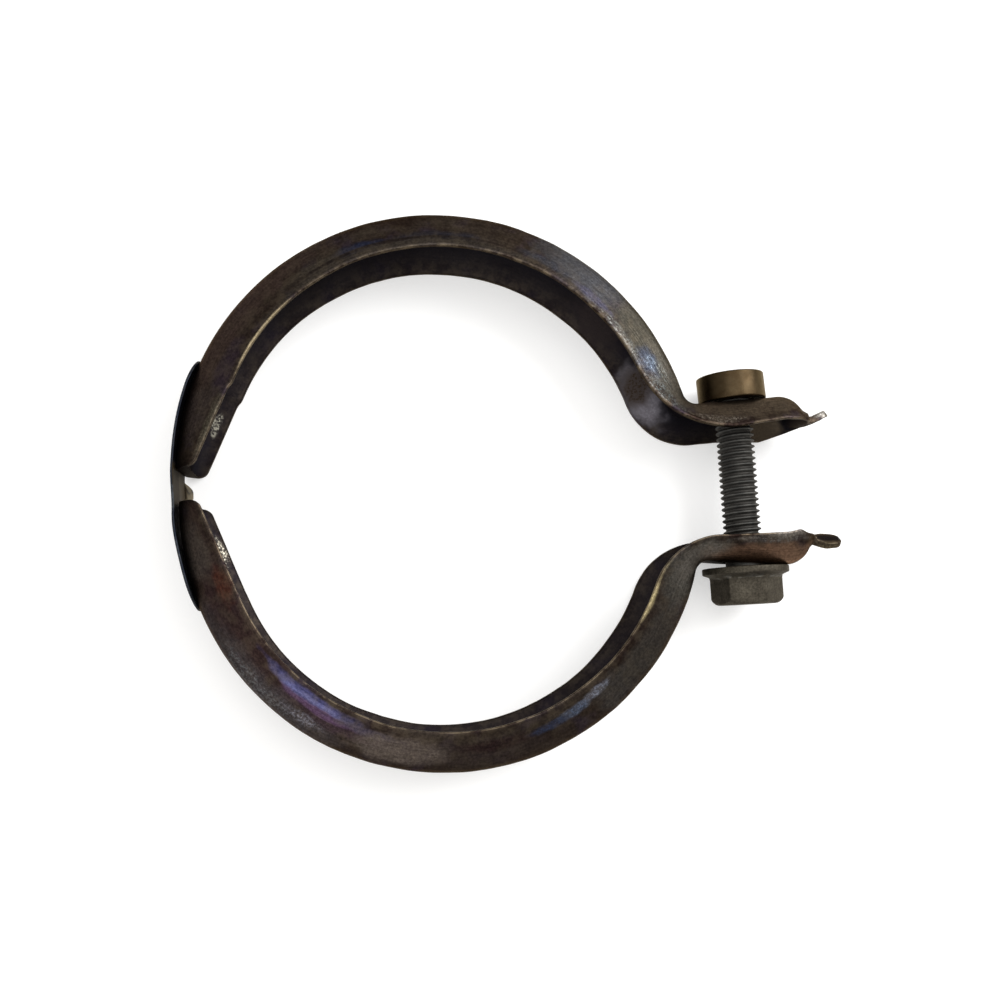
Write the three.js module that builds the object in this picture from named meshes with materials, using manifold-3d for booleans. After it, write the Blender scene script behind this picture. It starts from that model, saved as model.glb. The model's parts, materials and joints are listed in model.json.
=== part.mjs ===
// Profile clamp for a flanged pipe joint: two pressed channel jaws on a spring-leaf hinge, drawn
// together by a flange bolt and a round nut. Millimetres, +Z up, lying flat on Z = 0.
// The design frame has the pipe axis at X = Y = 0 and the middle of the band at Z = 0: the hinge is
// on -X, the lugs are on +X, and the bolt runs along Y. The last lines move it to the part's frame.
import * as THREE from "three";
import { mergeVertices } from "three/addons/utils/BufferGeometryUtils.js";
import Module from "manifold-3d";

const wasm = await Module();
wasm.setup();
const { degToRad, lerp } = THREE.MathUtils;

// ---- Driving dimensions ----
const BAND_RADIUS = 52.2; // outside of the channel's crown, jaws closed
const MOUTH_RADIUS = 44.0; // the tips of the channel's legs
const BAND_WIDTH = 18.4; // across the leg tips, along the pipe
const CROWN_WIDTH = 11.0; // across the crown's sharp corners
const CROWN_CORNER = 2.5; // outside corner radius between crown and leg
const SHEET = 1.5; // sheet thickness
const TIP_LAND = 0.5; // flat that the leg tips rest on
const OPEN_ANGLE = degToRad(4.6); // each jaw's swing from closed to the pose shown
const HINGE_X = -52.5; // where the leaf bends
const LEG_TRIM_ANGLE = degToRad(156); // where the legs begin to be trimmed back towards the hinge
const TRIM_STEP = 0.4; // small step where the trimming begins
const TRIMMED_TIP_RADIUS = 48.3; // radius of the leg tips at the trimmed end
const END_CORNER = 1.2; // rounded corner of a trimmed leg
const TAIL_Y = 1.6; // underside of the tail of a closed lug, from the parting line
const LUG_FILLET = 3.0; // outside bend from band to lug
const NOSE_RADIUS = 5.0;
const NOSE_PLAN_LENGTH = 8.0; // length over which the lug narrows to its tail
const TAIL_ROOT_HALF = 3.0; // half width of the tail at its root
const TAIL_TIP_HALF = 1.9;
const BOLT_X = 62.35; // bolt axis, from the pipe axis
const BOLT_LEAN = degToRad(0.9); // the bolt leans a little in its slots
const SLOT_WIDTH = 8.6; // slot in each lug, across the lug
const SLOT_LENGTH = 10.0; // along the lug
const SLOT_X = 63.0; // middle of the slot, jaws closed
const THREAD_RADIUS = 3.95; // M8
const THREAD_ROOT = 3.3;
const THREAD_PITCH = 1.25;
const THREAD_START_Y = -14.0;
const BOLT_TIP_Y = 22.6;
const FLANGE_FACE_Y = -18.25; // the flange's bearing face
const FLANGE_RADIUS = 8.95;
const FLANGE_RIM = 1.3;
const HEAD_HEIGHT = 7.5; // flange included
const HEX_ACROSS_FLATS = 13.0;
const HEX_TURN = 12; // degrees that the hexagon is turned about the bolt
const NUT_FACE_Y = 17.65; // the nut's bearing face
const NUT_HEIGHT = 5.3;
const NUT_RADIUS = 7.1;
const NUT_BORE_RADIUS = 4.35;
const NUT_ROCK = degToRad(3.4); // the nut leans on the opened lug, loose on its thread
const NUT_CHAMFER = 0.35;
const LEAF_THICKNESS = 0.5;
const LEAF_WIDTH = 15.0;
const LEAF_GAP = 0.3; // between leaf and band
const LEAF_LENGTH = 49.2;
const LEAF_MIDDLE_Y = 1.4; // the leaf sits a little towards the upper jaw
const LEAF_END_RADIUS = 5.5;
const TAB_REACH = 1.6; // locating tab, inwards from the leaf
const TAB_LENGTH = 4.4;
const TAB_MIDDLE_Y = 1.1;

// ---- What differs between the two pressings ----
// reach: hinge to pipe axis. lugY: the lug's crown. noseX and noseTurn: where the crown turns down
// to the tail, and how far.
// top and bottom: each leg's bend radius, and its tips' heights at the bend and at the nose.
const UPPER = {
  side: 1,
  reach: 52.25,
  endY: 4.0,
  lugY: 7.7,
  noseX: 71.4,
  noseTurn: degToRad(63),
  top: { fillet: 15, bendY: 2.4, noseY: 2.0 },
  bottom: { fillet: 14, bendY: 1.0, noseY: 0.1 },
  tail: { length: 4.8, curl: degToRad(26), twist: 0 },
};
const LOWER = {
  side: -1,
  reach: 53.05,
  endY: 2.5,
  lugY: 8.0,
  noseX: 70.3,
  noseTurn: degToRad(69),
  top: { fillet: 15, bendY: 2.9, noseY: 1.4 },
  bottom: { fillet: 16, bendY: 3.2, noseY: 1.0 },
  tail: { length: 6.5, curl: degToRad(-4), twist: degToRad(32) },
};

// ---- Meshes ----
// A closed surface from rings of points, each ring joined to the next and both ends capped.
function loft(rings, outline) {
  const size = rings[0].length;
  const last = (rings.length - 1) * size;
  const index = [];
  for (let i = 0; i + 1 < rings.length; i++)
    for (let j = 0; j < size; j++) {
      const a = i * size + j;
      const b = i * size + ((j + 1) % size);
      index.push(a, a + size, b, b, a + size, b + size);
    }
  const clockwise = THREE.ShapeUtils.isClockWise(outline);
  for (const [a, p, q] of THREE.ShapeUtils.triangulateShape(outline, [])) {
    const [b, c] = clockwise ? [q, p] : [p, q];
    index.push(a, b, c);
    index.push(last + a, last + c, last + b);
  }
  const geometry = new THREE.BufferGeometry().setFromPoints(rings.flat());
  geometry.setIndex(index);
  return geometry;
}

function solidFrom(geometry) {
  const bare = geometry.clone();
  bare.deleteAttribute("normal");
  bare.deleteAttribute("uv");
  const merged = mergeVertices(bare, 1e-4);
  const vertProperties = merged.attributes.position.array;
  const make = (triVerts) =>
    new wasm.Manifold(new wasm.Mesh({ numProp: 3, vertProperties, triVerts }));
  const made = make(new Uint32Array(merged.index.array));
  return made.volume() > 0 ? made : make(new Uint32Array(merged.index.array).reverse());
}

function meshFrom(solid, name, material) {
  const { vertProperties, triVerts } = solid.getMesh();
  const geometry = new THREE.BufferGeometry();
  geometry.setAttribute("position", new THREE.BufferAttribute(vertProperties, 3));
  geometry.setIndex(new THREE.BufferAttribute(triVerts, 1));
  geometry.computeVertexNormals();
  const mesh = new THREE.Mesh(geometry, material);
  mesh.name = name;
  return mesh;
}

// A body of revolution about the Y axis, from its profile of [radius, y] points.
function turned(profile, segments = 32) {
  const points = profile.map(([r, y]) => new THREE.Vector2(r, y));
  return solidFrom(new THREE.LatheGeometry(points, segments));
}

// ---- Jaws ----
// Half of the channel's section: u runs from the crown to the leg tip, v along the pipe.
function halfSection(depth, crownHalf, mouthHalf) {
  const land = depth - Math.min(TIP_LAND, depth / 3);
  const splay = Math.atan2(mouthHalf - crownHalf, land);
  const corner = Math.min(CROWN_CORNER, depth * 0.4, crownHalf * 0.8);
  const wall = Math.min(SHEET, depth);
  const walled = crownHalf + wall * Math.tan(splay) - SHEET / Math.cos(splay);
  const insideHalf = Math.max(walled, 0.4 * crownHalf);
  const legWidth = (depth - wall) * Math.tan(splay) + 0.15;
  const insideTip = Math.min(insideHalf + legWidth, 0.9 * mouthHalf);
  const outside = cornerArc(0, crownHalf, corner, splay);
  const inside = cornerArc(wall, insideHalf, Math.max(corner - SHEET, 0.2), splay)
    .map(([u, v]) => [Math.min(u, depth), v]);
  const leg = [[land, mouthHalf], [depth, mouthHalf], [depth, insideTip]];
  return [...outside, ...leg, ...inside.reverse()];
}

// The rounded corner where the crown meets a leg that is splayed from the crown's normal.
function cornerArc(u, v, radius, splay) {
  const turn = Math.PI / 2 - splay;
  const tangent = radius * Math.tan(turn / 2);
  const centre = [u + radius, v - tangent];
  return [0, 0.5, 1].map((share) => {
    const angle = turn * share;
    return [centre[0] - radius * Math.cos(angle), centre[1] + radius * Math.sin(angle)];
  });
}

const onCircle = (radius, angle) =>
  new THREE.Vector2(radius * Math.cos(angle), radius * Math.sin(angle));

// One jaw as a list of stations from the hinge to the tail, in the closed clamp. Each has a point
// on the crown, a point for the tip of the top leg and of the bottom leg, and half widths.
function jawStations(jaw) {
  return [
    ...hingeEnd(jaw),
    ...band(jaw),
    ...bend(jaw),
    ...lugStations(jaw),
    ...noseStations(jaw),
    ...tailStations(jaw),
  ];
}

function station(outer, top, bottom, widths = {}) {
  const full = { crownHalf: CROWN_WIDTH / 2, mouthHalf: BAND_WIDTH / 2, twist: 0 };
  return { outer, top, bottom, ...full, ...widths };
}

// Centre of the bend that leaves a ring of the given radius and ends level at height y.
function bendCentre(ring, radius, y) {
  const height = y + radius;
  return new THREE.Vector2(Math.sqrt((ring + radius) ** 2 - height ** 2), height);
}

// The angle at which the first leg leaves the ring.
function bendAngle(jaw) {
  const angles = [jaw.top, jaw.bottom]
    .map((leg) => bendCentre(MOUTH_RADIUS, leg.fillet, leg.bendY).angle());
  return Math.max(...angles);
}

// Values between from and to, without either end.
function between(count, from, to) {
  return Array.from({ length: count - 1 }, (_, i) => lerp(from, to, (i + 1) / count));
}

function hingeEnd(jaw) {
  const endAngle = Math.PI - Math.asin(jaw.endY / BAND_RADIUS);
  const trimStart = onCircle(MOUTH_RADIUS + TRIM_STEP, LEG_TRIM_ANGLE);
  const trimEnd = onCircle(TRIMMED_TIP_RADIUS, Math.PI - Math.asin(jaw.endY / TRIMMED_TIP_RADIUS));
  const reach = trimEnd.distanceTo(trimStart);
  const distances = [0, 0.25 * END_CORNER, END_CORNER, ...between(5, END_CORNER, reach), reach - 0.3];
  return distances.map((distance) => {
    const share = distance / reach;
    const outer = onCircle(BAND_RADIUS, lerp(endAngle, LEG_TRIM_ANGLE, share));
    const tip = trimEnd.clone().lerp(trimStart, share);
    const left = Math.max(END_CORNER - distance, 0);
    const cut = END_CORNER - Math.sqrt(END_CORNER ** 2 - left ** 2);
    tip.lerp(outer, cut / tip.distanceTo(outer));
    return station(outer, tip, tip);
  });
}

function band(jaw) {
  const end = bendAngle(jaw);
  return [LEG_TRIM_ANGLE, ...between(32, LEG_TRIM_ANGLE, end)].map((angle) => {
    const tip = onCircle(MOUTH_RADIUS, angle);
    return station(onCircle(BAND_RADIUS, angle), tip, tip);
  });
}

// Where the bend's stations end, past both legs' bends.
function bendEndX(jaw) {
  const ends = [jaw.top, jaw.bottom].map((leg) => bendCentre(MOUTH_RADIUS, leg.fillet, leg.bendY).x);
  return Math.max(...ends);
}

// The tips of one leg round the bend: along the ring, round the fillet and on to a level end.
function legBend(jaw, leg) {
  const centre = bendCentre(MOUTH_RADIUS, leg.fillet, leg.bendY);
  return bendPath(MOUTH_RADIUS, bendAngle(jaw), centre, leg.fillet, bendEndX(jaw));
}

function bendPath(ring, fromAngle, centre, radius, endX) {
  return new THREE.Path()
    .absarc(0, 0, ring, fromAngle + 0.001, centre.angle(), true)
    .absarc(centre.x, centre.y, radius, Math.PI + centre.angle(), 1.5 * Math.PI, false)
    .lineTo(endX + 0.01, centre.y - radius);
}

function bend(jaw) {
  const steps = 9;
  const centre = bendCentre(BAND_RADIUS, LUG_FILLET, jaw.lugY);
  const crown = bendPath(BAND_RADIUS, bendAngle(jaw), centre, LUG_FILLET, bendEndX(jaw));
  const top = legBend(jaw, jaw.top);
  const bottom = legBend(jaw, jaw.bottom);
  return Array.from({ length: steps + 1 }, (_, i) => {
    const share = i / steps;
    return station(crown.getPointAt(share), top.getPointAt(share), bottom.getPointAt(share));
  });
}

function lugStations(jaw) {
  return [0.3, 0.6, 0.9].map((share) => {
    const x = lerp(bendEndX(jaw), jaw.noseX, share);
    const tips = [jaw.top, jaw.bottom]
      .map((leg) => new THREE.Vector2(x, lerp(leg.bendY, leg.noseY, share)));
    return station(new THREE.Vector2(x, jaw.lugY), ...tips);
  });
}

// The crown turns down over the nose and runs out level, one sheet above the tail's underside.
function noseStations(jaw) {
  const steps = 5;
  const drop = jaw.lugY - TAIL_Y - SHEET;
  const hollowRadius = drop / (1 - Math.cos(jaw.noseTurn)) - NOSE_RADIUS;
  const tailX = jaw.noseX + (NOSE_RADIUS + hollowRadius) * Math.sin(jaw.noseTurn);
  const level = Math.PI / 2;
  const crown = [];
  for (let i = 0; i <= steps; i++) {
    const reach = onCircle(NOSE_RADIUS, level - (jaw.noseTurn * i) / steps);
    crown.push(reach.add(new THREE.Vector2(jaw.noseX, jaw.lugY - NOSE_RADIUS)));
  }
  for (let i = 2; i >= 0; i--) {
    const reach = onCircle(hollowRadius, Math.PI + level - (jaw.noseTurn * i) / 3);
    crown.push(reach.add(new THREE.Vector2(tailX, TAIL_Y + SHEET + hollowRadius)));
  }
  return crown.map((outer) => {
    const share = (outer.x - jaw.noseX) / (tailX - jaw.noseX);
    const tips = [jaw.top, jaw.bottom]
      .map((leg) => new THREE.Vector2(outer.x, lerp(leg.noseY, TAIL_Y, share)));
    return station(outer, ...tips, noseWidths(outer.x, tailX));
  });
}

// The lug rounds off in plan before the tail.
function noseWidths(x, tailX) {
  const share = THREE.MathUtils.clamp(1 - (tailX - x) / NOSE_PLAN_LENGTH, 0, 1);
  const mouthHalf = lerp(TAIL_ROOT_HALF, BAND_WIDTH / 2, Math.sqrt(1 - share ** 2));
  return { crownHalf: Math.min(CROWN_WIDTH / 2, mouthHalf - 0.2), mouthHalf };
}

// A thin tail that curls away from the parting line and may be twisted about its length.
function tailStations(jaw) {
  const steps = 6;
  const { length, curl, twist } = jaw.tail;
  const root = noseStations(jaw).at(-1).outer;
  return [...between(steps, 0, 1), 1].map((share) => {
    const slope = curl * Math.min(1, share * 1.5);
    const run = onCircle(share * length, slope * 0.6);
    const centre = run.add(new THREE.Vector2(root.x, root.y - SHEET / 2));
    const across = onCircle(SHEET / 2, slope + Math.PI / 2);
    const rounding = share === 1 ? 0.45 : 1;
    const mouthHalf = lerp(TAIL_ROOT_HALF, TAIL_TIP_HALF, share) * rounding;
    const tip = centre.clone().sub(across);
    const widths = { crownHalf: mouthHalf - 0.2, mouthHalf, twist: twist * Math.min(1, share * 2) };
    return station(centre.clone().add(across), tip, tip, widths);
  });
}

// A station's section as points in space, for the jaw on the given side of the parting line.
function stationRing(place, side) {
  const top = halfRing(place, place.top, side, 1);
  const bottom = halfRing(place, place.bottom, side, -1);
  return [...top, ...bottom.reverse()];
}

function halfRing({ outer, crownHalf, mouthHalf, twist }, tip, side, upwards) {
  const depth = outer.distanceTo(tip);
  const inward = tip.clone().sub(outer).divideScalar(depth);
  return halfSection(depth, crownHalf, mouthHalf).map(([u, half]) => {
    const v = half * upwards;
    const fromMiddle = u - depth / 2;
    const along = depth / 2 + fromMiddle * Math.cos(twist) - v * Math.sin(twist);
    const z = fromMiddle * Math.sin(twist) + v * Math.cos(twist);
    return new THREE.Vector3(outer.x + inward.x * along, side * (outer.y + inward.y * along), z);
  });
}

// The slot that the bolt passes through, as a cutter across the lug's crown.
function slotCutter(jaw) {
  const radius = SLOT_WIDTH / 2;
  const straight = SLOT_LENGTH / 2 - radius;
  const shape = new THREE.Shape()
    .absarc(straight, 0, radius, -Math.PI / 2, Math.PI / 2, false)
    .absarc(-straight, 0, radius, Math.PI / 2, 1.5 * Math.PI, false);
  const depth = 2 * SHEET + 2;
  const cutter = new THREE.ExtrudeGeometry(shape, { depth, bevelEnabled: false, curveSegments: 10 });
  cutter.rotateX(Math.PI / 2);
  cutter.translate(SLOT_X, jaw.side * (jaw.lugY - SHEET / 2) + depth / 2, 0);
  return solidFrom(cutter);
}

function jawSolid(jaw) {
  const rings = jawStations(jaw).map((place) => stationRing(place, jaw.side));
  const outline = rings[0].map(({ x, z }) => new THREE.Vector2(x, z));
  return solidFrom(loft(rings, outline)).subtract(slotCutter(jaw));
}

// A jaw swung open about the hinge by its share of the opening.
function openedJaw(jaw, name, material) {
  const mesh = meshFrom(jawSolid(jaw), name, material);
  const swing = new THREE.Group();
  swing.position.x = HINGE_X;
  swing.rotation.z = jaw.side * OPEN_ANGLE;
  mesh.position.x = jaw.reach;
  swing.add(mesh);
  return swing;
}

// ---- Leaf hinge ----
// The leaf's inner line: round each opened jaw, bridged by a straight stretch over the hinge.
function leafPoint(y) {
  const radius = BAND_RADIUS + LEAF_GAP;
  const [high, low] = [UPPER, LOWER].map((jaw) =>
    onCircle(jaw.reach, jaw.side * OPEN_ANGLE).add(new THREE.Vector2(HINGE_X, 0)));
  const share = THREE.MathUtils.clamp((y - low.y) / (high.y - low.y), 0, 1);
  const centre = low.lerp(high, share);
  return new THREE.Vector2(centre.x - Math.sqrt(radius ** 2 - (y - centre.y) ** 2), y);
}

function leafRing(y) {
  const inner = leafPoint(y);
  const step = 0.05;
  const tangent = leafPoint(y + step).sub(leafPoint(y - step)).normalize();
  const outward = new THREE.Vector2(-tangent.y, tangent.x);
  const outer = inner.clone().addScaledVector(outward, LEAF_THICKNESS);
  const fromEnd = LEAF_LENGTH / 2 - Math.abs(y - LEAF_MIDDLE_Y);
  const short = Math.max(LEAF_END_RADIUS - fromEnd, 0);
  const half = LEAF_WIDTH / 2 - LEAF_END_RADIUS + Math.sqrt(LEAF_END_RADIUS ** 2 - short ** 2);
  return [[inner, -half], [outer, -half], [outer, half], [inner, half]]
    .map(([point, z]) => new THREE.Vector3(point.x, point.y, z));
}

function leafSolid() {
  const steps = 22;
  const rings = [];
  for (let i = 0; i <= steps; i++) {
    const angle = lerp(-Math.PI / 2, Math.PI / 2, i / steps);
    const even = lerp(-1, 1, i / steps);
    rings.push(leafRing(LEAF_MIDDLE_Y + (LEAF_LENGTH / 2) * lerp(Math.sin(angle), even, 0.5)));
  }
  const outline = [[0, 0], [1, 0], [1, 1], [0, 1]].map(([x, y]) => new THREE.Vector2(x, y));
  return solidFrom(loft(rings, outline));
}

// The tab is bent inwards from the leaf's lower edge, and lies between the ends of the jaws.
function tabSolid() {
  const root = TAB_LENGTH / 2;
  const shape = new THREE.Shape([
    new THREE.Vector2(-LEAF_THICKNESS / 2, -root),
    new THREE.Vector2(TAB_REACH, -root + 0.7),
    new THREE.Vector2(TAB_REACH, root - 1.9),
    new THREE.Vector2(-LEAF_THICKNESS / 2, root),
  ]);
  const tab = new THREE.ExtrudeGeometry(shape, { depth: LEAF_THICKNESS, bevelEnabled: false });
  tab.translate(leafPoint(0).x, TAB_MIDDLE_Y, -LEAF_WIDTH / 2);
  return solidFrom(tab);
}

// ---- Bolt ----
// One start of a 60 degree thread about Y, left with stepped ends that are trimmed off later.
function threadGeometry(fromY, toY) {
  const segments = 12;
  const profile = [THREAD_ROOT, THREAD_ROOT, THREAD_RADIUS, THREAD_RADIUS];
  const heights = [0, 0.3, 0.62, 0.74];
  const turns = Math.ceil((toY - fromY) / THREAD_PITCH) + 2;
  const rows = turns * profile.length;
  const points = [];
  for (let i = 0; i <= rows + profile.length; i++) {
    const turn = Math.floor(i / profile.length) + heights[i % profile.length];
    for (let j = 0; j < segments; j++) {
      const angle = (2 * Math.PI * j) / segments;
      const y = fromY + (turn - 2 + j / segments) * THREAD_PITCH;
      const radius = profile[i % profile.length];
      points.push(new THREE.Vector3(radius * Math.cos(angle), y, -radius * Math.sin(angle)));
    }
  }
  const at = (i, j) => (j < segments ? i * segments + j : (i + profile.length) * segments);
  const index = [];
  for (let i = 0; i < rows; i++)
    for (let j = 0; j < segments; j++) {
      index.push(at(i, j), at(i, j + 1), at(i + 1, j));
      index.push(at(i, j + 1), at(i + 1, j + 1), at(i + 1, j));
    }
  capStepped(index, points, at, 0, segments, profile.length, false);
  capStepped(index, points, at, rows, segments, profile.length, true);
  const geometry = new THREE.BufferGeometry().setFromPoints(points);
  geometry.setIndex(index);
  return geometry;
}

// A fan that closes one stepped end of the thread.
function capStepped(index, points, at, row, segments, step, top) {
  const hub = points.length;
  points.push(new THREE.Vector3(0, points[at(row, 0)].y + THREAD_PITCH / 2, 0));
  const rim = [];
  for (let j = 0; j < segments; j++) rim.push(at(row, j));
  for (let i = step; i > 0; i--) rim.push(at(row + i, 0));
  rim.forEach((point, i) => {
    const next = rim[(i + 1) % rim.length];
    index.push(...(top ? [hub, point, next] : [hub, next, point]));
  });
}

function boltSolid() {
  const rimY = FLANGE_FACE_Y - FLANGE_RIM;
  const headY = FLANGE_FACE_Y - HEAD_HEIGHT;
  const corner = HEX_ACROSS_FLATS / Math.sqrt(3);
  const thread = solidFrom(threadGeometry(THREAD_START_Y, BOLT_TIP_Y)).intersect(
    turned([
      [0, THREAD_START_Y],
      [THREAD_ROOT, THREAD_START_Y],
      [THREAD_RADIUS + 0.3, THREAD_START_Y + 1],
      [THREAD_RADIUS + 0.3, BOLT_TIP_Y - 1],
      [THREAD_ROOT - 0.3, BOLT_TIP_Y],
      [0, BOLT_TIP_Y],
    ]),
  );
  const shank = turned([
    [0, FLANGE_FACE_Y - 1],
    [THREAD_RADIUS, FLANGE_FACE_Y - 1],
    [THREAD_RADIUS, THREAD_START_Y - 0.5],
    [THREAD_ROOT, THREAD_START_Y],
    [THREAD_ROOT, THREAD_START_Y + 0.5],
    [0, THREAD_START_Y + 0.5],
  ]);
  const flange = turned([
    [0, rimY - 1.6],
    [corner - 0.6, rimY - 1.6],
    [FLANGE_RADIUS - 0.2, rimY],
    [FLANGE_RADIUS, rimY + 0.3],
    [FLANGE_RADIUS, FLANGE_FACE_Y - 0.3],
    [FLANGE_RADIUS - 0.3, FLANGE_FACE_Y],
    [0, FLANGE_FACE_Y],
  ]);
  const hex = solidFrom(
    new THREE.CylinderGeometry(corner, corner, HEAD_HEIGHT - 0.5, 6)
      .rotateY(degToRad(HEX_TURN))
      .translate(0, headY + (HEAD_HEIGHT - 0.5) / 2, 0),
  ).intersect(
    turned([
      [0, headY],
      [HEX_ACROSS_FLATS / 2 - 0.3, headY],
      [corner, headY + 1.2],
      [corner, FLANGE_FACE_Y],
      [0, FLANGE_FACE_Y],
    ]),
  );
  return hex.add(flange).add(shank).add(thread);
}

function placedBolt(name, material) {
  const mesh = meshFrom(boltSolid(), name, material);
  mesh.position.x = BOLT_X;
  mesh.rotation.z = BOLT_LEAN;
  return mesh;
}

// ---- Nut ----
function nutSolid() {
  const bore = NUT_BORE_RADIUS;
  return turned([
    [bore, NUT_CHAMFER],
    [bore + NUT_CHAMFER, 0],
    [NUT_RADIUS - NUT_CHAMFER, 0],
    [NUT_RADIUS, NUT_CHAMFER],
    [NUT_RADIUS, NUT_HEIGHT - NUT_CHAMFER],
    [NUT_RADIUS - NUT_CHAMFER, NUT_HEIGHT],
    [bore + NUT_CHAMFER, NUT_HEIGHT],
    [bore, NUT_HEIGHT - NUT_CHAMFER],
    [bore, NUT_CHAMFER],
  ], 40);
}

function placedNut(name, material) {
  const mesh = meshFrom(nutSolid(), name, material);
  mesh.position.set(BOLT_X - NUT_FACE_Y * Math.tan(BOLT_LEAN), NUT_FACE_Y, 0);
  mesh.rotation.z = NUT_ROCK;
  return mesh;
}

// ---- Materials ----
const steel = (name, color, roughness) =>
  new THREE.MeshStandardMaterial({ name, color, roughness, metalness: 0.9 });
const jawSteel = steel("heat_tinted_steel", 0x4a4340, 0.5);
const leafSteel = steel("blued_spring_steel", 0x3c4048, 0.45);
const boltSteel = steel("grey_zinc_steel", 0x66645f, 0.6);
const nutSteel = steel("golden_steel", 0x6e6244, 0.4);

// ---- Assembly ----
const clamp = new THREE.Group();
clamp.add(
  openedJaw(UPPER, "upper_jaw", jawSteel),
  openedJaw(LOWER, "lower_jaw", jawSteel),
  meshFrom(leafSolid().add(tabSolid()), "hinge_leaf", leafSteel),
  placedBolt("flange_bolt", boltSteel),
  placedNut("round_nut", nutSteel),
);

// The part's origin is under the middle of its bounding box, on the plane that it lies on.
const box = new THREE.Box3().setFromObject(clamp, true);
const middle = box.getCenter(new THREE.Vector3());
clamp.position.set(-middle.x, -middle.y, -box.min.z);

export default clamp;
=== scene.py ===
import cmath
import json
import math
from collections import namedtuple
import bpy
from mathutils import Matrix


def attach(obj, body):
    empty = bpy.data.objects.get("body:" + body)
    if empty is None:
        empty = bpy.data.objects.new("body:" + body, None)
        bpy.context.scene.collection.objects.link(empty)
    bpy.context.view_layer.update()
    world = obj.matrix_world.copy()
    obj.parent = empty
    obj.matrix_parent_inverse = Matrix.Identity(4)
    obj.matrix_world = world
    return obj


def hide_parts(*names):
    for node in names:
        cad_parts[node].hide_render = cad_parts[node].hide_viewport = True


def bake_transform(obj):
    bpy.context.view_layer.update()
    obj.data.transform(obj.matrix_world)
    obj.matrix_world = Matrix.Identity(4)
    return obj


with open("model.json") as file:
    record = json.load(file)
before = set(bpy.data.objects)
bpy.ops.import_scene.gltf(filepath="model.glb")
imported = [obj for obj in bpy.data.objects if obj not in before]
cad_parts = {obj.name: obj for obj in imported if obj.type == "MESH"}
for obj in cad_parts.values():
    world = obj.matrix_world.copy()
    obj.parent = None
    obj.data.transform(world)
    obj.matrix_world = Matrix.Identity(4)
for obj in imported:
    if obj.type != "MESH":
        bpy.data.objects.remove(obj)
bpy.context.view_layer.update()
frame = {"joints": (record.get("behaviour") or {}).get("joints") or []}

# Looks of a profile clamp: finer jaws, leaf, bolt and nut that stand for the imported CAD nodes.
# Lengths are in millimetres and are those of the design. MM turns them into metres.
from types import SimpleNamespace

import bmesh
import bpy
import numpy as np
from mathutils import Matrix, Vector, noise

MM = 0.001

# ---- Dimensions ----
BAND_RADIUS = 52.2
MOUTH_RADIUS = 44.0
BAND_WIDTH = 18.4
CROWN_WIDTH = 11.0
CROWN_CORNER = 1.6  # how far the crown's rounded corner reaches along each side
SHEET = 1.5
TIP_LAND = 0.5
OPEN_ANGLE = math.radians(4.6)
HINGE_X = -52.5
LEG_TRIM_ANGLE = math.radians(156)
TRIM_RUN = 1.8  # length over which the step of the trim fades
TRIMMED_TIP_RADIUS = 48.3
END_CORNER = 1.2
TAIL_Y = 1.6
LUG_FILLET = 3.0
NOSE_RADIUS = 5.0
TOP_PLAN_LENGTH = 8.0
TOP_NOSE_SHORT = 0.7
BOTTOM_PLAN_LENGTH = 8.5
BUMP_X = 71.9  # of the small raised corner
BUMP_REACH = 1.3
TIP_ROUNDING = 0.2  # how much narrower the crown is than the mouth on the nose and tail
TAIL_ROOT_HALF = 3.0
TAIL_TIP_HALF = 1.9
BOLT_X = 62.35
BOLT_LEAN = math.radians(0.9)
SLOT_WIDTH = 8.6
SLOT_LENGTH = 10.0
SLOT_X = 63.0
THREAD_RADIUS = 3.95
THREAD_ROOT = 3.3
THREAD_PITCH = 1.25
THREAD_START_Y = -14.0
BOLT_TIP_Y = 22.6
FLANGE_FACE_Y = -17.95
FLANGE_RADIUS = 8.95
FLANGE_RIM = 1.3
CONE_HEIGHT = 1.0  # of the flange's slope up to the hexagon
HEAD_HEIGHT = 7.8
HEX_ACROSS_FLATS = 13.0
HEX_TURN = math.radians(-17)
NUT_FACE_Y = 17.35
NUT_HEIGHT = 5.6
NUT_RADIUS = 7.1
NUT_BORE_CREST = 4.28
NUT_BORE_ROOT = 4.75
NUT_ROCK = math.radians(3.4)
NUT_CHAMFER = 0.35
LEAF_THICKNESS = 0.5
LEAF_WIDTH = 15.0
LEAF_GAP = 0.1
LEAF_LENGTH = 49.2
LEAF_MIDDLE_Y = 1.4
LEAF_END_RADIUS = 5.5
TAB_REACH = 1.6
TAB_LENGTH = 4.4
TAB_MIDDLE_Y = 1.1
WELD_RADIUS = 1.7
WELD_DEPTH = 0.12
WELD_YS = (-16.0, 13.5)  # from the leaf's middle
WELD_ZS = (-3.4, 3.4)
EDGE_EASE = 0.25  # easing of the sheared ends of the sheet

Leg = namedtuple("Leg", "fillet bend_y nose_y bump")
Tail = namedtuple("Tail", "length curl twist")
Jaw = namedtuple(
    "Jaw", "side reach end_y trim_step spread lug_y nose_x nose_turn top bottom tail"
)

UPPER = Jaw(
    side=1, reach=52.25, end_y=4.0, trim_step=0.5, spread=0.0,
    lug_y=7.7, nose_x=71.4, nose_turn=math.radians(63),
    top=Leg(21.0, 1.4, 2.1, 0.0), bottom=Leg(14.0, 1.0, 0.1, 0.0),
    tail=Tail(4.8, math.radians(26), 0.0),
)
LOWER = Jaw(
    side=-1, reach=53.05, end_y=2.1, trim_step=0.1, spread=0.4,
    lug_y=8.0, nose_x=70.3, nose_turn=math.radians(69),
    top=Leg(15.0, 2.9, 1.4, 0.7), bottom=Leg(16.0, 3.2, 1.0, 0.0),
    tail=Tail(6.5, math.radians(-4), math.radians(32)),
)

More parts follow.
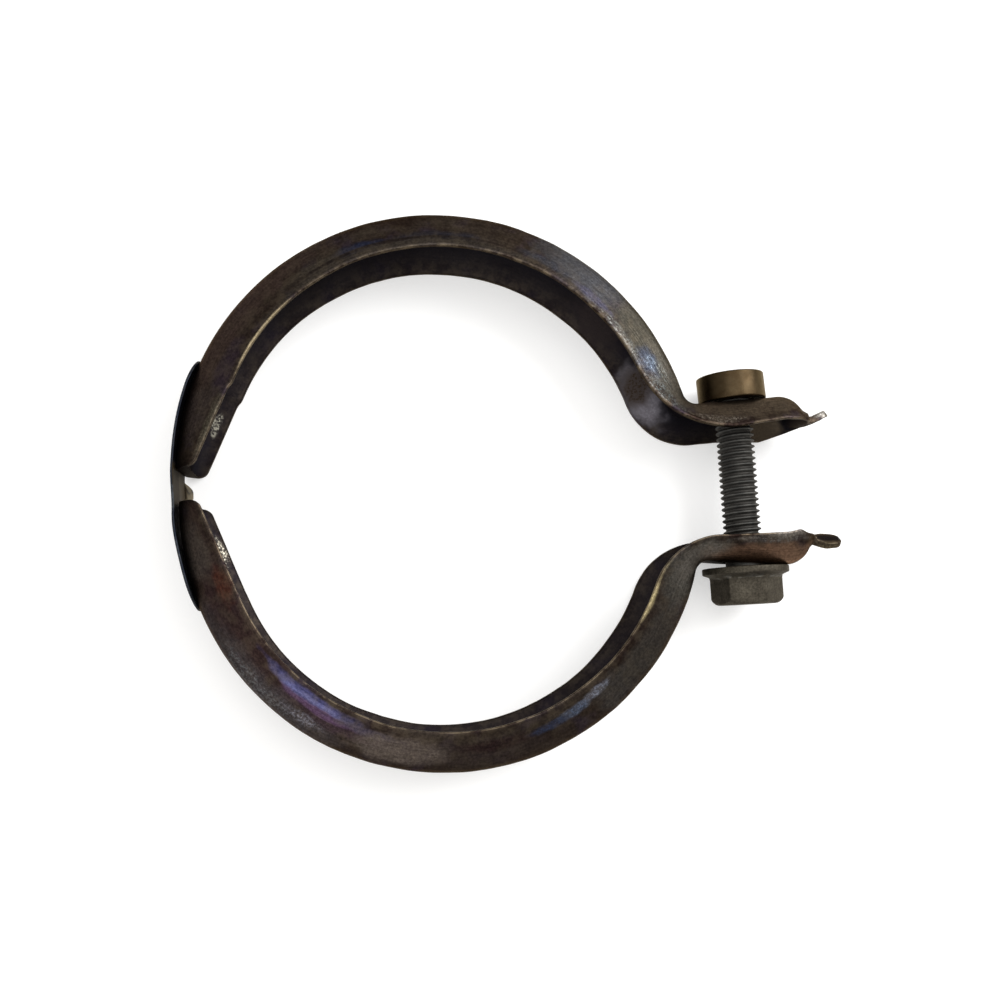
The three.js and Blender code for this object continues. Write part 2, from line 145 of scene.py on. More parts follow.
# ---- The design frame in the row frame. The design's origin is the closed clamp's pipe axis. ----
HINGE = Vector(next(j["pos_m"] for j in frame["joints"] if j["name"] == "jaw_hinge"))
FROM_HINGE = Matrix.Translation(HINGE) @ Matrix.Scale(MM, 4)
FROM_DESIGN = FROM_HINGE @ Matrix.Translation((-HINGE_X, 0, 0))


def jaw_matrix(jaw):
    swing = Matrix.Rotation(jaw.side * OPEN_ANGLE, 4, "Z")
    return FROM_HINGE @ swing @ Matrix.Translation((jaw.reach, 0, 0))


def lerp(a, b, share):
    return a + (b - a) * share


def smooth(share):
    share = np.clip(share, 0, 1)
    return share * share * (3 - 2 * share)


# ---- Meshes ----
def surface(name, rings, capped=True, **attributes):
    """A closed mesh through rings of points. Uncapped rings join up into a loop."""
    rings = np.asarray(rings, float)
    count, size = rings.shape[:2]
    faces = []
    for i in range(count if not capped else count - 1):
        for j in range(size):
            a, b = i * size + j, i * size + (j + 1) % size
            ahead = ((i + 1) % count - i) * size
            faces.append((a, b, b + ahead, a + ahead))
    if capped:
        faces.append(tuple(range(size)))
        faces.append(tuple(range((count - 1) * size, count * size)))
    mesh = bpy.data.meshes.new(name)
    mesh.from_pydata(rings.reshape(-1, 3).tolist(), [], faces)
    for key, values in attributes.items():
        values = np.asarray(values, np.float32)
        kind, field = ("FLOAT", "value") if values.ndim == 2 else ("FLOAT_VECTOR", "vector")
        mesh.attributes.new(key, kind, "POINT").data.foreach_set(field, values.ravel())
    turn_out(mesh)
    piece = bpy.data.objects.new(name, mesh)
    bpy.context.scene.collection.objects.link(piece)
    return piece


def turn_out(mesh):
    """Faces that point outwards."""
    shape = bmesh.new()
    shape.from_mesh(mesh)
    bmesh.ops.recalc_face_normals(shape, faces=shape.faces)
    shape.to_mesh(mesh)
    shape.free()


def combine(piece, tool, operation):
    """Cuts or joins tool into piece, and removes tool."""
    modifier = piece.modifiers.new(operation, "BOOLEAN")
    modifier.operation = operation
    modifier.solver = "EXACT"
    modifier.object = tool
    bpy.context.view_layer.update()
    evaluated = piece.evaluated_get(bpy.context.evaluated_depsgraph_get())
    result = bpy.data.meshes.new_from_object(evaluated)
    piece.modifiers.clear()
    piece.data = result
    bpy.data.objects.remove(tool)


def settle(piece, matrix, material, sharp=math.radians(38)):
    """Puts a mesh made in millimetres into the row frame, shaded smooth up to the sharp angle."""
    piece.data.transform(matrix)
    piece.data.shade_smooth()
    piece.data.set_sharp_from_angle(angle=sharp)
    piece.data.materials.clear()
    piece.data.materials.append(material)


def straight(start, end, count):
    return [lerp(start, end, i / count) for i in range(count)]


def eased(corners, reaches, spans, turns):
    """Points along corners joined by straight spans, with each inner corner eased by a curve."""
    points = []
    start = corners[0]
    for before, corner, after, reach, span, turn in zip(
        corners, corners[1:], corners[2:], reaches, spans, turns
    ):
        back, on = before - corner, after - corner
        reach = min(reach, 0.45 * abs(back), 0.45 * abs(on))
        a = corner + back / abs(back) * reach
        b = corner + on / abs(on) * reach
        points += straight(start, a, span)
        points += [lerp(lerp(a, corner, t), lerp(corner, b, t), t) for t in straight(0, 1, turn)]
        start = b
    return np.array(points + straight(start, corners[-1], spans[-1]) + [corners[-1]])


# ---- Jaws ----
# Half of the channel's section, from the crown's middle round the leg's tip to the inside.
SECTION_SPANS = [4, 8, 2, 2, 7, 4]
SECTION_TURNS = [7, 3, 5, 4, 5]
SECTION_REACHES = [CROWN_CORNER, 0.5, 0.42, 0.32, 0.8]
SECTION_MIDDLE = 0.12  # where the half section starts, as a share of the crown's half width


def section_values(corners):
    """One value a point, going evenly from corner to corner along the straight spans."""
    values = []
    start = corners[0]
    for span, turn, value in zip(SECTION_SPANS, SECTION_TURNS, corners[1:]):
        values += straight(start, value, span) + [value] * turn
        start = value
    return np.array(values + straight(start, corners[-1], SECTION_SPANS[-1]) + [corners[-1]])


SECTION_EDGE = section_values([0, 0.1, 0.3, 1, 0.5, 0, 0])
SECTION_INNER = section_values([0, 0, 0, 0, 0.6, 1, 1])


def half_section(depth, crown, mouth):
    land = depth - min(TIP_LAND, depth / 3)
    splay = math.atan2(mouth - crown, land)
    wall = min(SHEET, depth)
    inside = max(crown + wall * math.tan(splay) - SHEET / math.cos(splay), 0.4 * crown)
    inside_tip = min(inside + (depth - wall) * math.tan(splay) + 0.15, 0.9 * mouth)
    corners = [
        complex(0, SECTION_MIDDLE * crown),
        complex(0, crown),
        complex(land, mouth),
        complex(depth, mouth),
        complex(depth, inside_tip),
        complex(wall, inside),
        complex(wall, SECTION_MIDDLE * inside),
    ]
    return eased(corners, SECTION_REACHES, SECTION_SPANS, SECTION_TURNS)


def inset(points, distance):
    tangent = np.gradient(points)
    return points - 1j * distance * tangent / np.abs(tangent)


def station(outer, top, bottom, **more):
    """A place along a closed jaw: x + iy of the crown and of both legs' tips, and the half
    widths at the crown and at the tip on each leg's side."""
    full = (CROWN_WIDTH / 2, BAND_WIDTH / 2)
    made = dict(top_widths=full, bottom_widths=full, twist=0.0, inset=0.0)
    return SimpleNamespace(outer=outer, top=top, bottom=bottom, **{**made, **more})


BAND_STEPS = 150
BEND_STEPS = 46
LUG_STEPS = 18
NOSE_STEPS = 16
HOLLOW_STEPS = 10
TAIL_STEPS = 18


def jaw_stations(jaw):
    parts = (hinge_end, band, bend, lug, nose, tail)
    return [place for part in parts for place in part(jaw)]


# Distances from a sheared end, and how far the section is inset there.
EASED_END = [(0, EDGE_EASE), (0.3 * EDGE_EASE, 0.3 * EDGE_EASE), (EDGE_EASE, 0)]


def hinge_end(jaw):
    end_angle = math.pi - math.asin(jaw.end_y / BAND_RADIUS)
    trim_start = cmath.rect(MOUTH_RADIUS + jaw.trim_step, LEG_TRIM_ANGLE)
    tip_angle = math.pi - math.asin(jaw.end_y / TRIMMED_TIP_RADIUS)
    trim_end = cmath.rect(TRIMMED_TIP_RADIUS, tip_angle)
    reach = abs(trim_end - trim_start)
    rounded = [(END_CORNER * (1 - math.cos(math.radians(a))), 0) for a in range(45, 91, 9)]
    even = [(distance, 0) for distance in np.linspace(END_CORNER, reach - 0.3, 24)[1:]]
    made = []
    for distance, insetting in EASED_END + rounded + even:
        share = distance / reach
        radius = BAND_RADIUS + jaw.spread * (1 - share) ** 2
        outer = cmath.rect(radius, lerp(end_angle, LEG_TRIM_ANGLE, share))
        tip = lerp(trim_end, trim_start, share)
        left = max(END_CORNER - distance, 0)
        cut = END_CORNER - math.sqrt(END_CORNER**2 - left**2)
        tip += (outer - tip) / abs(outer - tip) * cut
        made.append(station(outer, tip, tip, inset=insetting))
    return made


def band(jaw):
    made = []
    for angle in np.linspace(LEG_TRIM_ANGLE, bend_angle(jaw), BAND_STEPS)[:-1]:
        past_trim = (LEG_TRIM_ANGLE - angle) * MOUTH_RADIUS
        step = jaw.trim_step * (1 - smooth(past_trim / TRIM_RUN))
        tip = cmath.rect(MOUTH_RADIUS + step, angle)
        made.append(station(cmath.rect(BAND_RADIUS, angle), tip, tip))
    return made


def bend_centre(ring, radius, y):
    """Centre of the bend that leaves a ring and ends level at height y."""
    height = y + radius
    return complex(math.sqrt((ring + radius) ** 2 - height**2), height)


def leg_centres(jaw):
    return [bend_centre(MOUTH_RADIUS, leg.fillet, leg.bend_y) for leg in (jaw.top, jaw.bottom)]


def bend_angle(jaw):
    return max(cmath.phase(centre) for centre in leg_centres(jaw))


def bend_end(jaw):
    return max(centre.real for centre in leg_centres(jaw))


def bend_point(jaw, ring, radius, y, share):
    """A point along the ring, round the bend and on level to the bend's end."""
    centre = bend_centre(ring, radius, y)
    leaving = cmath.phase(centre)
    along_ring = ring * (bend_angle(jaw) - leaving)
    round_bend = radius * (math.pi / 2 - leaving)
    level = bend_end(jaw) - centre.real
    distance = share * (along_ring + round_bend + level)
    if distance < along_ring:
        return cmath.rect(ring, bend_angle(jaw) - distance / ring)
    distance -= along_ring
    if distance < round_bend:
        return centre + cmath.rect(radius, math.pi + leaving + distance / radius)
    return centre + complex(distance - round_bend, -radius)


def bend(jaw):
    return [
        station(
            bend_point(jaw, BAND_RADIUS, LUG_FILLET, jaw.lug_y, share),
            bend_point(jaw, MOUTH_RADIUS, jaw.top.fillet, jaw.top.bend_y, share),
            bend_point(jaw, MOUTH_RADIUS, jaw.bottom.fillet, jaw.bottom.bend_y, share),
        )
        for share in np.linspace(0, 1, BEND_STEPS)
    ]


def raised(jaw, x, y):
    """The tip's height with the small raised corner of the top leg at the nose."""
    return y - jaw.top.bump * math.exp(-(((x - BUMP_X) / BUMP_REACH) ** 2))


def lug(jaw):
    made = []
    for share in np.linspace(0, 1, LUG_STEPS)[1:-1]:
        x = lerp(bend_end(jaw), jaw.nose_x, share)
        top = complex(x, raised(jaw, x, lerp(jaw.top.bend_y, jaw.top.nose_y, share)))
        bottom = complex(x, lerp(jaw.bottom.bend_y, jaw.bottom.nose_y, share))
        made.append(station(complex(x, jaw.lug_y), top, bottom, **nose_plan(jaw, x)))
    return made


def nose_crown(jaw):
    """The crown's line over the nose and down, running out level at the tail."""
    drop = jaw.lug_y - TAIL_Y - SHEET
    hollow = drop / (1 - math.cos(jaw.nose_turn)) - NOSE_RADIUS
    tail_x = jaw.nose_x + (NOSE_RADIUS + hollow) * math.sin(jaw.nose_turn)
    level = math.pi / 2
    over = complex(jaw.nose_x, jaw.lug_y - NOSE_RADIUS)
    under = complex(tail_x, TAIL_Y + SHEET + hollow)
    turning = np.linspace(0, jaw.nose_turn, NOSE_STEPS)
    returning = np.linspace(jaw.nose_turn, 0, HOLLOW_STEPS)[1:]
    down = [over + cmath.rect(NOSE_RADIUS, level - a) for a in turning]
    out = [under + cmath.rect(hollow, -level - a) for a in returning]
    return down + out


def nose_plan(jaw, x):
    """Half widths where the nose rounds off towards the tail, sooner on the top leg."""
    tail_x = nose_crown(jaw)[-1].real
    made = []
    ends = (tail_x - TOP_NOSE_SHORT, TOP_PLAN_LENGTH), (tail_x, BOTTOM_PLAN_LENGTH)
    for end_x, length in ends:
        narrowing = np.clip(1 - (end_x - x) / length, 0, 1)
        mouth = lerp(TAIL_ROOT_HALF, BAND_WIDTH / 2, math.sqrt(1 - narrowing**2))
        made.append((min(CROWN_WIDTH / 2, mouth - TIP_ROUNDING), mouth))
    return dict(top_widths=made[0], bottom_widths=made[1])


def nose(jaw):
    crown = nose_crown(jaw)
    tail_x = crown[-1].real
    made = []
    for outer in crown:
        x = outer.real
        share = (x - jaw.nose_x) / (tail_x - jaw.nose_x)
        top = complex(x, lerp(raised(jaw, x, jaw.top.nose_y), TAIL_Y, share))
        bottom = complex(x, lerp(jaw.bottom.nose_y, TAIL_Y, share))
        made.append(station(outer, top, bottom, **nose_plan(jaw, x)))
    return made


TAIL_ROUND_FROM = 0.75  # share of the tail where its end starts to round off


def tail(jaw):
    length, curl, twist = jaw.tail
    root = nose_crown(jaw)[-1]
    eased_end = [(1 - distance / length, into) for distance, into in EASED_END[::-1]]
    made = []
    for share, insetting in [(s, 0) for s in np.linspace(0, 0.9, TAIL_STEPS)[1:]] + eased_end:
        slope = curl * min(1, share * 1.5)
        centre = root - 1j * SHEET / 2 + cmath.rect(share * length, slope * 0.6)
        across = cmath.rect(SHEET / 2, slope + math.pi / 2)
        past = max(share - TAIL_ROUND_FROM, 0)
        rounding = math.sqrt(1 - 0.8 * past**2 / (1 - TAIL_ROUND_FROM) ** 2)
        mouth = lerp(TAIL_ROOT_HALF, TAIL_TIP_HALF, share) * rounding
        widths = (mouth - TIP_ROUNDING, mouth)
        more = dict(top_widths=widths, bottom_widths=widths, inset=insetting)
        tip = centre - across
        turned = twist * min(1, 0.3 + share * 1.5)
        made.append(station(centre + across, tip, tip, twist=turned, **more))
    return made


def station_ring(place, side):
    top = half_ring(place, place.top, place.top_widths, side, 1)
    bottom = half_ring(place, place.bottom, place.bottom_widths, side, -1)
    return np.concatenate([top, bottom[::-1]])


def half_ring(place, tip, widths, side, upwards):
    depth = abs(tip - place.outer)
    inward = (tip - place.outer) / depth
    section = inset(half_section(depth, *widths), place.inset)
    from_middle, v = section.real - depth / 2, section.imag * upwards
    along = depth / 2 + from_middle * math.cos(place.twist) - v * math.sin(place.twist)
    z = from_middle * math.sin(place.twist) + v * math.cos(place.twist)
    at = place.outer + inward * along
    return np.stack([at.real, side * at.imag, z], axis=1)


def lengths(stations):
    """Distance of each station along the crown, from the hinge's own angle."""
    outer = np.array([place.outer for place in stations])
    first = BAND_RADIUS * (math.pi - cmath.phase(outer[0]))
    return first + np.concatenate([[0], np.cumsum(np.abs(np.diff(outer)))])


SEAM = 20.0  # marks the middle of the inside, where the distance jumps from side to side


def section_distances():
    """Distance of each ring point from the crown's middle, signed by the leg that it is on."""
    half = half_section(BAND_RADIUS - MOUTH_RADIUS, CROWN_WIDTH / 2, BAND_WIDTH / 2)
    distance = abs(half[0]) + np.concatenate([[0], np.cumsum(np.abs(np.diff(half)))])
    return np.concatenate([distance, -distance[::-1]])


WAVE_LENGTH = 9.0  # of the pressing's unevenness
WAVE_HEIGHT = 0.13
DENT_LENGTH = 2.2
DENT_HEIGHT = 0.05
NOISE_SEED = 4  # 0 would start it from the clock; 4 leaves the nut clear of the upper lug
CALM_SHARE = 0.35  # of the unevenness that is left near the hinge
CALM_LENGTH = 30
CALM_FADE = 40
RISE_SHARE = 0.3  # of the unevenness that goes along the pipe


def pressed_unevenness(rings, along, seed):
    """Moves the points a little, more away from the hinge, where the sheet is bent hardest."""
    strength = lerp(CALM_SHARE, 1, smooth((along - CALM_LENGTH) / CALM_FADE))
    noise.seed_set(NOISE_SEED)
    for i, ring in enumerate(rings):
        for j, point in enumerate(ring):
            place = Vector(point) + Vector((seed, 0, 0))
            move = noise.noise_vector(place / WAVE_LENGTH) * WAVE_HEIGHT
            move += noise.noise_vector(place / DENT_LENGTH) * DENT_HEIGHT
            move.z *= RISE_SHARE
            rings[i, j] += np.array(move) * strength[i]


def slot_cutter(jaw):
    radius = SLOT_WIDTH / 2
    straight_half = SLOT_LENGTH / 2 - radius
    outline = []
    for side in (1, -1):
        for angle in np.linspace(-math.pi / 2, math.pi / 2, 20):
            outline.append(side * (straight_half + cmath.rect(radius, angle)))
    middle = jaw.side * (jaw.lug_y - SHEET / 2)
    rings = [
        [(SLOT_X + at.real, middle + reach, at.imag) for at in outline]
        for reach in (-SHEET - 1, SHEET + 1)
    ]
    return surface("slot_cutter", rings)


def make_jaw(jaw, body, material, seed):
    stations = jaw_stations(jaw)
    rings = np.array([station_ring(place, jaw.side) for place in stations])
    along = lengths(stations)
    pressed_unevenness(rings, along, seed)
    across = section_distances()
    flow = np.zeros(rings.shape)
    flow[..., 0] = along[:, None]
    flow[..., 1] = across
    flow[..., 2] = SEAM * (np.abs(across) == np.abs(across).max())
    both = [np.concatenate([half, half[::-1]]) for half in (SECTION_EDGE, SECTION_INNER)]
    edge, inner = [np.tile(values, (len(rings), 1)) for values in both]
    edge[:4] *= 0.3  # the sheared end at the hinge is hardly worn, and dark on its face
    inner[0] = 1
    piece = surface(body + "_pressing", rings, edge=edge, inner=inner, flow=flow)
    combine(piece, slot_cutter(jaw), "DIFFERENCE")
    settle(piece, jaw_matrix(jaw), material)
    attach(piece, body)
    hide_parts(body)


# ---- Leaf hinge ----
LEAF_EASE = 0.16
BARE_REACH = 5.0  # half length of the inner face that shows between the jaws
BARE_FADE = 1.5
FACE_BARE = (0.1, 0.3)  # how bare that face is along its upper and lower edges, against the tab
LIFT_HEIGHT = 0.65  # the leaf stands off the lower jaw near the hinge
LIFT_MIDDLE_Y = -5.0
LIFT_REACH = 7.0


def leaf_point(y):
    """The leaf's inner line as x + iy: round each opened jaw, bridged over the hinge."""
    radius = BAND_RADIUS + LEAF_GAP
    high = HINGE_X + cmath.rect(UPPER.reach, OPEN_ANGLE)
    low = HINGE_X + cmath.rect(LOWER.reach, -OPEN_ANGLE)
    share = smooth((y - low.imag) / (high.imag - low.imag))
    centre = lerp(low, high, share)
    lift = LIFT_HEIGHT * math.exp(-(((y - LIFT_MIDDLE_Y) / LIFT_REACH) ** 2))
    return complex(centre.real - math.sqrt(radius**2 - (y - centre.imag) ** 2) - lift, y)


def leaf_section(half):
    """Rounded rectangle, thickness along the real axis: the inner side first, then the outer."""
    corners = [complex(0, 0), 1j * half, LEAF_THICKNESS + 1j * half, complex(LEAF_THICKNESS, 0)]
    upper = eased(corners, [LEAF_EASE] * 2, [14, 1, 14], [4, 4])[1:-1]
    ends = [complex(0, 0)], [complex(LEAF_THICKNESS, 0)]
    return np.concatenate([ends[0], upper, ends[1], upper.conjugate()[::-1]])


def weld_sink(y, z):
    """Depth of the spot welds' dimples, two on each jaw."""
    sink = 0.0
    for weld_y in WELD_YS:
        for weld_z in WELD_ZS:
            distance = math.hypot(y - LEAF_MIDDLE_Y - weld_y, z - weld_z)
            sink += WELD_DEPTH * (1 - float(smooth(distance / WELD_RADIUS - 0.4)))
    return sink


def make_leaf(material):
    ends = [LEAF_END_RADIUS * (1 - math.cos(math.radians(a))) for a in range(0, 90, 9)]
    half_length = LEAF_LENGTH / 2
    middle = np.linspace(LEAF_END_RADIUS - half_length, half_length - LEAF_END_RADIUS, 70)
    offsets = [e - half_length for e in ends] + list(middle)
    offsets += [half_length - e for e in ends[::-1]]
    rings, inner = [], []
    for offset in offsets:
        y = LEAF_MIDDLE_Y + offset
        short = max(LEAF_END_RADIUS - (half_length - abs(offset)), 0)
        half = LEAF_WIDTH / 2 - LEAF_END_RADIUS + math.sqrt(LEAF_END_RADIUS**2 - short**2)
        section = leaf_section(half)
        at = leaf_point(y)
        along = leaf_point(y + 0.05) - leaf_point(y - 0.05)
        outward = 1j * along / abs(along)
        outside = section.real > LEAF_THICKNESS * 0.6
        sunk = np.array([weld_sink(y, z) for z in section.imag]) * outside
        place = at + outward * (section.real - sunk)
        rings.append(np.stack([place.real, place.imag, section.imag], axis=1))
        between = float(smooth((BARE_REACH - abs(y - TAB_MIDDLE_Y)) / BARE_FADE))
        bare = np.where(section.imag > 0, *FACE_BARE)
        inner.append((section.real < LEAF_THICKNESS * 0.2) * between * bare)
    edge = [np.abs(np.abs(ring[:, 2]) - np.abs(ring[:, 2]).max()) < 0.2 for ring in rings]
    piece = surface("hinge_leaf_strap", rings, inner=inner, edge=np.array(edge, float))
    combine(piece, leaf_tab(), "UNION")
    for vertex, mark in zip(piece.data.vertices, piece.data.attributes["inner"].data):
        if vertex.co.x > leaf_point(vertex.co.y).real + 0.01:
            mark.value = 1
    settle(piece, FROM_DESIGN, material)
    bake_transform(piece)
    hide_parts("hinge_leaf")


def leaf_tab():
    """The locating tab, bent inwards from the leaf's lower edge, between the jaws' ends."""
    root = TAB_LENGTH / 2
    corners = [
        complex(-LEAF_THICKNESS / 2, -root),
        complex(TAB_REACH * 0.5, -root + 0.3),
        complex(TAB_REACH, -root + 0.7),
        complex(TAB_REACH, root - 1.9),
        complex(TAB_REACH * 0.45, root - 0.9),
        complex(TAB_REACH * 0.1, root - 0.5),
        complex(-LEAF_THICKNESS / 2, root),
    ]
    outline = eased(corners, [0.4, 0.4, 0.6, 0.5, 0.4], [2] * 6, [5] * 5)
    middle = complex(leaf_point(0).real, TAB_MIDDLE_Y)
    low = -LEAF_WIDTH / 2 + 0.03
    high = low + LEAF_THICKNESS
    ease = 0.1
    levels = [(low, ease), (low + ease, 0), (high - ease, 0), (high, ease)]
    rings = []
    for z, into in levels:
        place = middle + outline * (1 - into / TAB_LENGTH)
        rings.append(np.stack([place.real, place.imag, np.full(len(place), z)], axis=1))
    return surface("leaf_tab", rings)


# ---- Bolt ----
# Degrees from one corner of the hexagon to the next.
SECTOR = [0, 1.5, 4, 8, 14, 22, 30, 38, 46, 52, 56, 58.5]
HEAD_ANGLES = np.radians([60 * corner + step for corner in range(6) for step in SECTOR])
ROWS_PER_PITCH = 12
TIP_CHAMFER = 1.2
CORNER_WEAR = 0.04
FACE_CHAMFER = 1.1  # height of the chamfer round the hexagon's end
CONE_START = 6.3  # radius where the flange's slope meets the hexagon


def soft_min(a, b, ease):
    """The lesser of a and b, eased where they cross."""
    return (a + b - np.sqrt((a - b) ** 2 + ease**2)) / 2


def hexagon():
    """The hexagon's radius at each head angle, with its corners a little worn."""
    from_flat = (HEAD_ANGLES % math.radians(60)) - math.radians(30)
    flat = HEX_ACROSS_FLATS / 2 / np.cos(from_flat)
    return soft_min(flat, HEX_ACROSS_FLATS / math.sqrt(3) - CORNER_WEAR, 0.08)


def thread_height(phase):
    """0 at a 60 degree thread's root and 1 at its crest."""
    from_root = np.abs(2 * (phase % 1) - 1)
    flank = np.clip((from_root - 0.25) / 0.625, 0, 1)
    return lerp(flank, smooth(flank), 0.6)


def round_y(radii, y, angles):
    """A ring about the Y axis. The angle goes from +X towards -Z."""
    radii = np.broadcast_to(radii, angles.shape)
    height = np.full(angles.shape, y)
    return np.stack([radii * np.cos(angles), height, -radii * np.sin(angles)], axis=1)


def head_rows():
    """Rows of (y, radii, dust) from the middle of the head's face to the shank's root."""
    face = FLANGE_FACE_Y - HEAD_HEIGHT
    rim = FLANGE_FACE_Y - FLANGE_RIM
    hexed = hexagon()
    rows = [(face, 0.02 * hexed, 0), (face, 0.4 * hexed, 0), (face, 0.75 * hexed, 0)]
    for step in np.linspace(0, 1, 9):
        limit = HEX_ACROSS_FLATS / 2 - 0.45 + 1.5 * step
        y = face + 0.06 + FACE_CHAMFER * step**1.6
        rows.append((y, soft_min(hexed, limit, 0.25), 0))
    for y in np.linspace(face + 1.4, rim - CONE_HEIGHT - 0.15, 7):
        rows.append((y, hexed, 0))
    for share in np.linspace(0, 1, 10):
        cone = lerp(CONE_START, FLANGE_RADIUS - 0.1, share)
        radii = -soft_min(-hexed, -cone, 0.4)
        y = lerp(rim - CONE_HEIGHT, rim - 0.05, share)
        rows.append((y, np.minimum(radii, FLANGE_RADIUS), 1 - share))
    for angle in np.linspace(0, 90, 5)[1:]:
        turn = math.radians(angle)
        radius = FLANGE_RADIUS - 0.1 + 0.1 * math.sin(turn)
        rows.append((rim + 0.25 * (1 - math.cos(turn)), radius, 0))
    for angle in np.linspace(0, 90, 6):
        turn = math.radians(angle)
        y = FLANGE_FACE_Y - 0.3 + 0.3 * math.sin(turn)
        rows.append((y, FLANGE_RADIUS - 0.3 + 0.3 * math.cos(turn), 0))
    for radius in (7.5, 6.0, 4.8, THREAD_RADIUS + 0.35):
        rows.append((FLANGE_FACE_Y, radius, 0))
    rows.append((FLANGE_FACE_Y + 0.1, THREAD_RADIUS + 0.1, 0))
    return rows


def shank_rows(angles):
    """Rows of (y, radii, root depth) of the plain shank, the thread and the chamfered end."""
    count = round((BOLT_TIP_Y - THREAD_START_Y) / THREAD_PITCH * ROWS_PER_PITCH)
    plain = np.linspace(FLANGE_FACE_Y + 0.4, THREAD_START_Y - 0.3, 6)
    rows = [(y, THREAD_RADIUS, 0) for y in plain]
    for y in np.linspace(THREAD_START_Y, BOLT_TIP_Y, count):
        height = thread_height(y / THREAD_PITCH - angles / (2 * math.pi))
        cut = float(smooth((y - THREAD_START_Y) / THREAD_PITCH))
        radii = THREAD_RADIUS - (1 - height) * cut * (THREAD_RADIUS - THREAD_ROOT)
        limit = THREAD_RADIUS + 0.1 - max(y - BOLT_TIP_Y + TIP_CHAMFER, 0)
        rows.append((y, soft_min(radii, limit, 0.05), (1 - height) * cut))
    for radius in (2.6, 1.5, 0.02):
        rows.append((BOLT_TIP_Y + 0.05, radius, 0))
    return rows


def make_bolt(material):
    head, shank = head_rows(), shank_rows(HEAD_ANGLES)
    rings = [round_y(radii, y, HEAD_ANGLES) for y, radii, _ in head + shank]
    even = np.ones(len(HEAD_ANGLES))
    dirt = [even * value for _, _, value in head + shank]
    on_head = [even] * len(head) + [even * 0] * len(shank)
    piece = surface("flange_bolt_forging", rings, dirt=dirt, head=on_head)
    place = Matrix.Translation((BOLT_X, 0, 0)) @ Matrix.Rotation(BOLT_LEAN, 4, "Z")
    turn = Matrix.Rotation(HEX_TURN, 4, "Y")
    settle(piece, FROM_DESIGN @ place @ turn, material, sharp=math.radians(50))
    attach(piece, "bolt")
    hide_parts("flange_bolt")


# ---- Nut ----
def nut_rows(angles):
    """Rows round the nut's section: up the threaded bore and down the outside."""
    rows = []
    steps = round(NUT_HEIGHT / THREAD_PITCH * ROWS_PER_PITCH)
    for y in np.linspace(0, NUT_HEIGHT, steps):
        height = thread_height(0.5 + y / THREAD_PITCH - angles / (2 * math.pi))
        radii = lerp(NUT_BORE_CREST, NUT_BORE_ROOT, height)
        flare = NUT_BORE_ROOT + 0.15 - min(y, NUT_HEIGHT - y)
        rows.append((y, np.maximum(radii, flare)))
    inside = NUT_BORE_ROOT + 0.5
    outside = [
        complex(inside, NUT_HEIGHT),
        complex(NUT_RADIUS, NUT_HEIGHT),
        complex(NUT_RADIUS, 0),
        complex(inside, 0),
    ]
    for at in eased(outside, [NUT_CHAMFER] * 2, [4, 10, 4], [6, 6]):
        rows.append((at.imag, at.real))
    return rows


def make_nut(material):
    angles = np.linspace(0, 2 * math.pi, 96, endpoint=False)
    rings = [round_y(radii, y, angles) for y, radii in nut_rows(angles)]
    piece = surface("round_nut_turning", rings, capped=False)
    foot = Vector((BOLT_X - NUT_FACE_Y * math.tan(BOLT_LEAN), NUT_FACE_Y, 0))
    place = Matrix.Translation(foot) @ Matrix.Rotation(NUT_ROCK, 4, "Z")
    settle(piece, FROM_DESIGN @ place, material, sharp=math.radians(50))
    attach(piece, "nut")
    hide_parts("round_nut")


# ---- Materials ----
OXIDE_TINT = (0.55, 0.51, 0.46, 1)  # of grazing reflections
TURNED_TINT = (0.9, 0.8, 0.65, 1)


